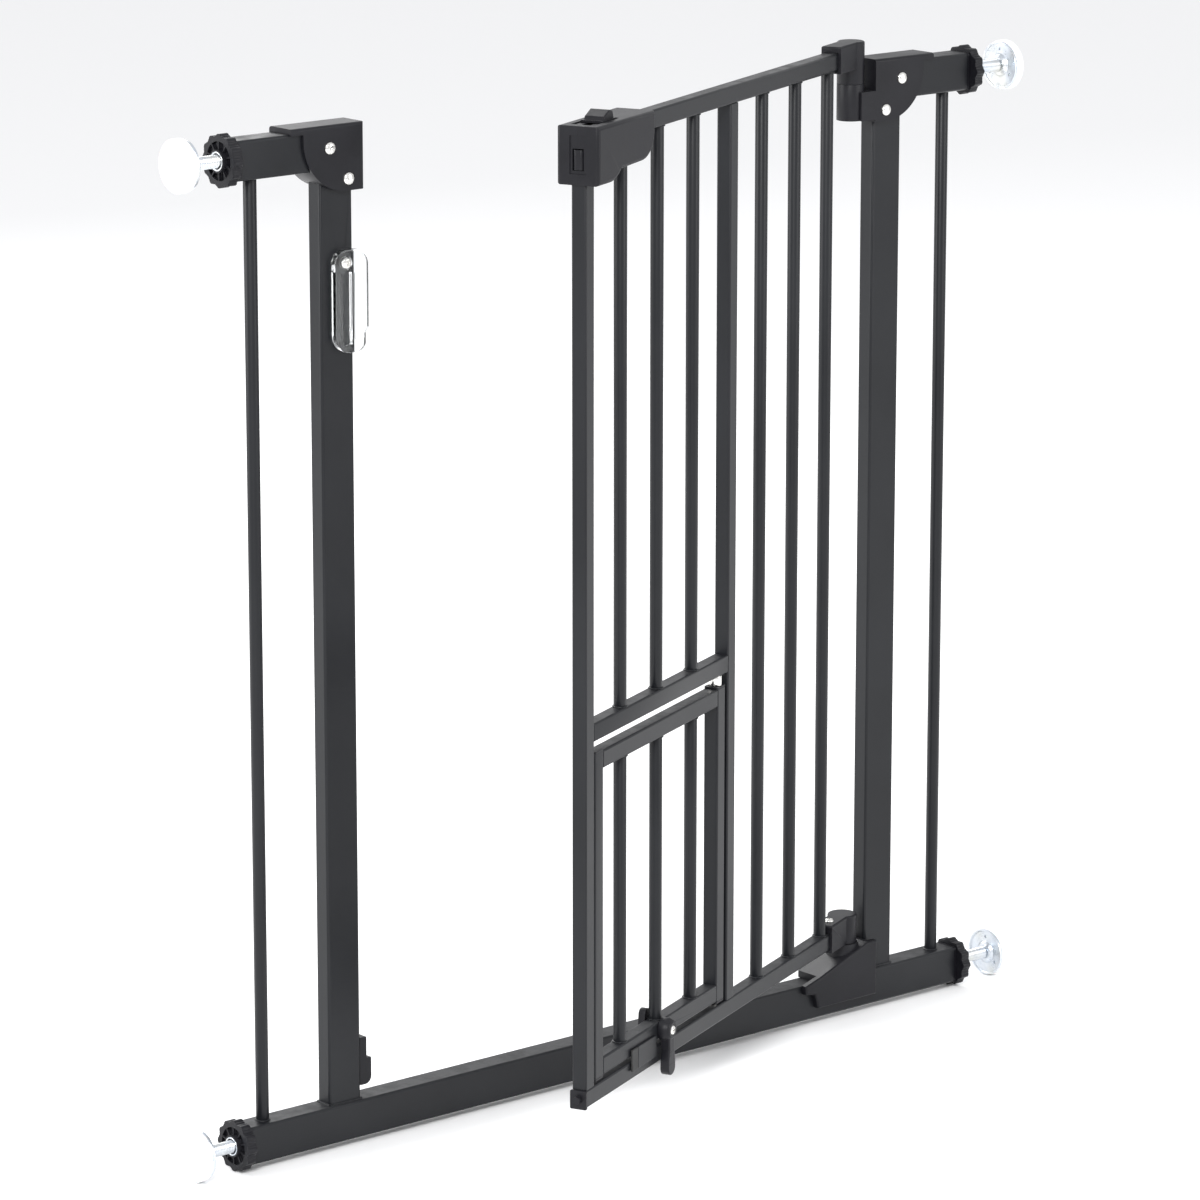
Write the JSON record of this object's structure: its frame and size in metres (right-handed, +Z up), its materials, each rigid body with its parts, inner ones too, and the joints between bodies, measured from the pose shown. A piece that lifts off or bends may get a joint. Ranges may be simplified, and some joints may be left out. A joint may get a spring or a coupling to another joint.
{
  "type": "pet gate",
  "caption": "Pressure-fit walk-through metal pet gate with a swinging barred door, a small pet door low in it, and screw-out wall pads.",
  "frame": {"origin": "middle of the bottom rail's underside, at the middle of its width and depth", "axes": "+X along the gate towards the hinge post, +Y towards the back (the door opens towards -Y), +Z up"},
  "size_m": [0.835, 0.2353, 0.8096],
  "materials": {
    "black_coat": "satin black powder coat",
    "black_plastic": "moulded black plastic, fine grain",
    "black_rubber": "matt",
    "zinc_steel": "bluish bright zinc plate",
    "bright_steel": "bright nickel",
    "pad_rubber": "white, matt",
    "clear_plastic": "clear moulded plastic"
  },
  "bodies": {
    "frame": {"bottom_rail": "black_coat", "left_post": "black_coat", "right_post": "black_coat", "left_top_rail": "black_coat", "right_top_rail": "black_coat", "outer_bars": "black_coat", "latch_corner_cover": "black_plastic", "hinge_corner_cover": "black_plastic", "cover_rivets": "bright_steel", "rail_end_plugs": "black_plastic", "bottom_catch": "black_plastic", "lower_hinge_base": "black_plastic", "lower_hinge_pin": "bright_steel", "upper_hinge_pin": "bright_steel", "stop_plate_screw": "bright_steel"},
    "stop_plate": {"stop_plate": "clear_plastic"},
    "door": {"door_latch_stile": "black_coat", "door_top_rail": "black_coat", "door_middle_rail": "black_coat", "door_middle_stile": "black_coat", "door_bottom_rail": "black_coat", "door_short_bars": "black_coat", "door_long_bars": "black_coat", "latch_housing_front": "black_plastic", "latch_housing_back": "black_plastic", "latch_spring": "zinc_steel", "top_hinge_cap": "black_plastic", "lower_hinge_bracket": "black_plastic", "hinge_bracket_screw": "bright_steel", "door_end_plug": "black_plastic", "pet_hinge_pins": "bright_steel"},
    "latch_slide": {"latch_bolt": "black_plastic", "latch_button": "black_plastic"},
    "pet_door": {"pet_door_stiles": "black_coat", "pet_door_top_rail": "black_coat", "pet_door_bottom_rail": "black_coat", "pet_door_bars": "black_coat", "pet_door_stile_plugs": "black_plastic", "pet_hinge_bushes": "black_plastic", "pet_door_stop_lug": "black_coat", "pet_door_buffer": "black_rubber"},
    "pet_lever": {"pet_latch_lever": "black_plastic", "pet_latch_cam_shaft": "black_plastic", "pet_lever_screw": "bright_steel"},
    "lower_left_spindle": {"lower_left_spindle": "zinc_steel", "lower_left_pad_cup": "zinc_steel", "lower_left_wall_pad": "pad_rubber"},
    "lower_left_handwheel": {"lower_left_handwheel": "black_plastic"},
    "lower_right_spindle": {"lower_right_spindle": "zinc_steel", "lower_right_pad_cup": "zinc_steel", "lower_right_wall_pad": "pad_rubber"},
    "lower_right_handwheel": {"lower_right_handwheel": "black_plastic"},
    "upper_left_spindle": {"upper_left_spindle": "zinc_steel", "upper_left_pad_cup": "zinc_steel", "upper_left_wall_pad": "pad_rubber"},
    "upper_left_handwheel": {"upper_left_handwheel": "black_plastic"},
    "upper_right_spindle": {"upper_right_spindle": "zinc_steel", "upper_right_pad_cup": "zinc_steel", "upper_right_wall_pad": "pad_rubber"},
    "upper_right_handwheel": {"upper_right_handwheel": "black_plastic"}
  },
  "joints": [
    {"name": "door_swing", "type": "hinge", "parent": "frame", "child": "door", "pos_m": [0.247, 0, 0.4], "axis": [0, 0, 1], "range_deg": [-24, 66]},
    {"name": "stop_plate_turn", "type": "hinge", "parent": "frame", "child": "stop_plate", "pos_m": [-0.2695, -0.0105, 0.68], "axis": [0, -1, 0], "range_deg": [0, 90]},
    {"name": "latch_slide", "type": "slide", "parent": "door", "child": "latch_slide", "axis": [-0.9135, -0.4067, 0], "range_m": [0, 0.01], "stiffness_N_per_m": 300, "springref_m": 0.014},
    {"name": "pet_door_swing", "type": "hinge", "parent": "door", "child": "pet_door", "pos_m": [0.01569, -0.10299, 0.2], "axis": [0, 0, 1], "range_deg": [0, 90]},
    {"name": "pet_lever_turn", "type": "hinge", "parent": "pet_door", "child": "pet_lever", "pos_m": [-0.08151, -0.14626, 0.084], "axis": [0.4067, -0.9135, 0], "range_deg": [0, 180]},
    {"name": "lower_left_spindle_slide", "type": "slide", "parent": "frame", "child": "lower_left_spindle", "axis": [-1, 0, 0], "range_m": [-0.025, 0.02]},
    {"name": "lower_left_handwheel_turn", "type": "hinge", "parent": "frame", "child": "lower_left_handwheel", "pos_m": [-0.3713, 0, 0.015], "axis": [-1, 0, 0], "range_deg": [-4810, 6010]},
    {"name": "lower_right_spindle_slide", "type": "slide", "parent": "frame", "child": "lower_right_spindle", "axis": [1, 0, 0], "range_m": [-0.025, 0.02]},
    {"name": "lower_right_handwheel_turn", "type": "hinge", "parent": "frame", "child": "lower_right_handwheel", "pos_m": [0.3713, 0, 0.015], "axis": [1, 0, 0], "range_deg": [-4810, 6010]},
    {"name": "upper_left_spindle_slide", "type": "slide", "parent": "frame", "child": "upper_left_spindle", "axis": [-1, 0, 0], "range_m": [-0.025, 0.02]},
    {"name": "upper_left_handwheel_turn", "type": "hinge", "parent": "frame", "child": "upper_left_handwheel", "pos_m": [-0.3713, 0, 0.765], "axis": [-1, 0, 0], "range_deg": [-4810, 6010]},
    {"name": "upper_right_spindle_slide", "type": "slide", "parent": "frame", "child": "upper_right_spindle", "axis": [1, 0, 0], "range_m": [-0.025, 0.02]},
    {"name": "upper_right_handwheel_turn", "type": "hinge", "parent": "frame", "child": "upper_right_handwheel", "pos_m": [0.3713, 0, 0.765], "axis": [1, 0, 0], "range_deg": [-4810, 6010]}
  ],
  "couplings": [
    {"joint": "lower_left_handwheel_turn", "follows": "lower_left_spindle_slide", "rad_per_m": -4188.8},
    {"joint": "lower_right_handwheel_turn", "follows": "lower_right_spindle_slide", "rad_per_m": -4188.8},
    {"joint": "upper_left_handwheel_turn", "follows": "upper_left_spindle_slide", "rad_per_m": -4188.8},
    {"joint": "upper_right_handwheel_turn", "follows": "upper_right_spindle_slide", "rad_per_m": -4188.8}
  ]
}
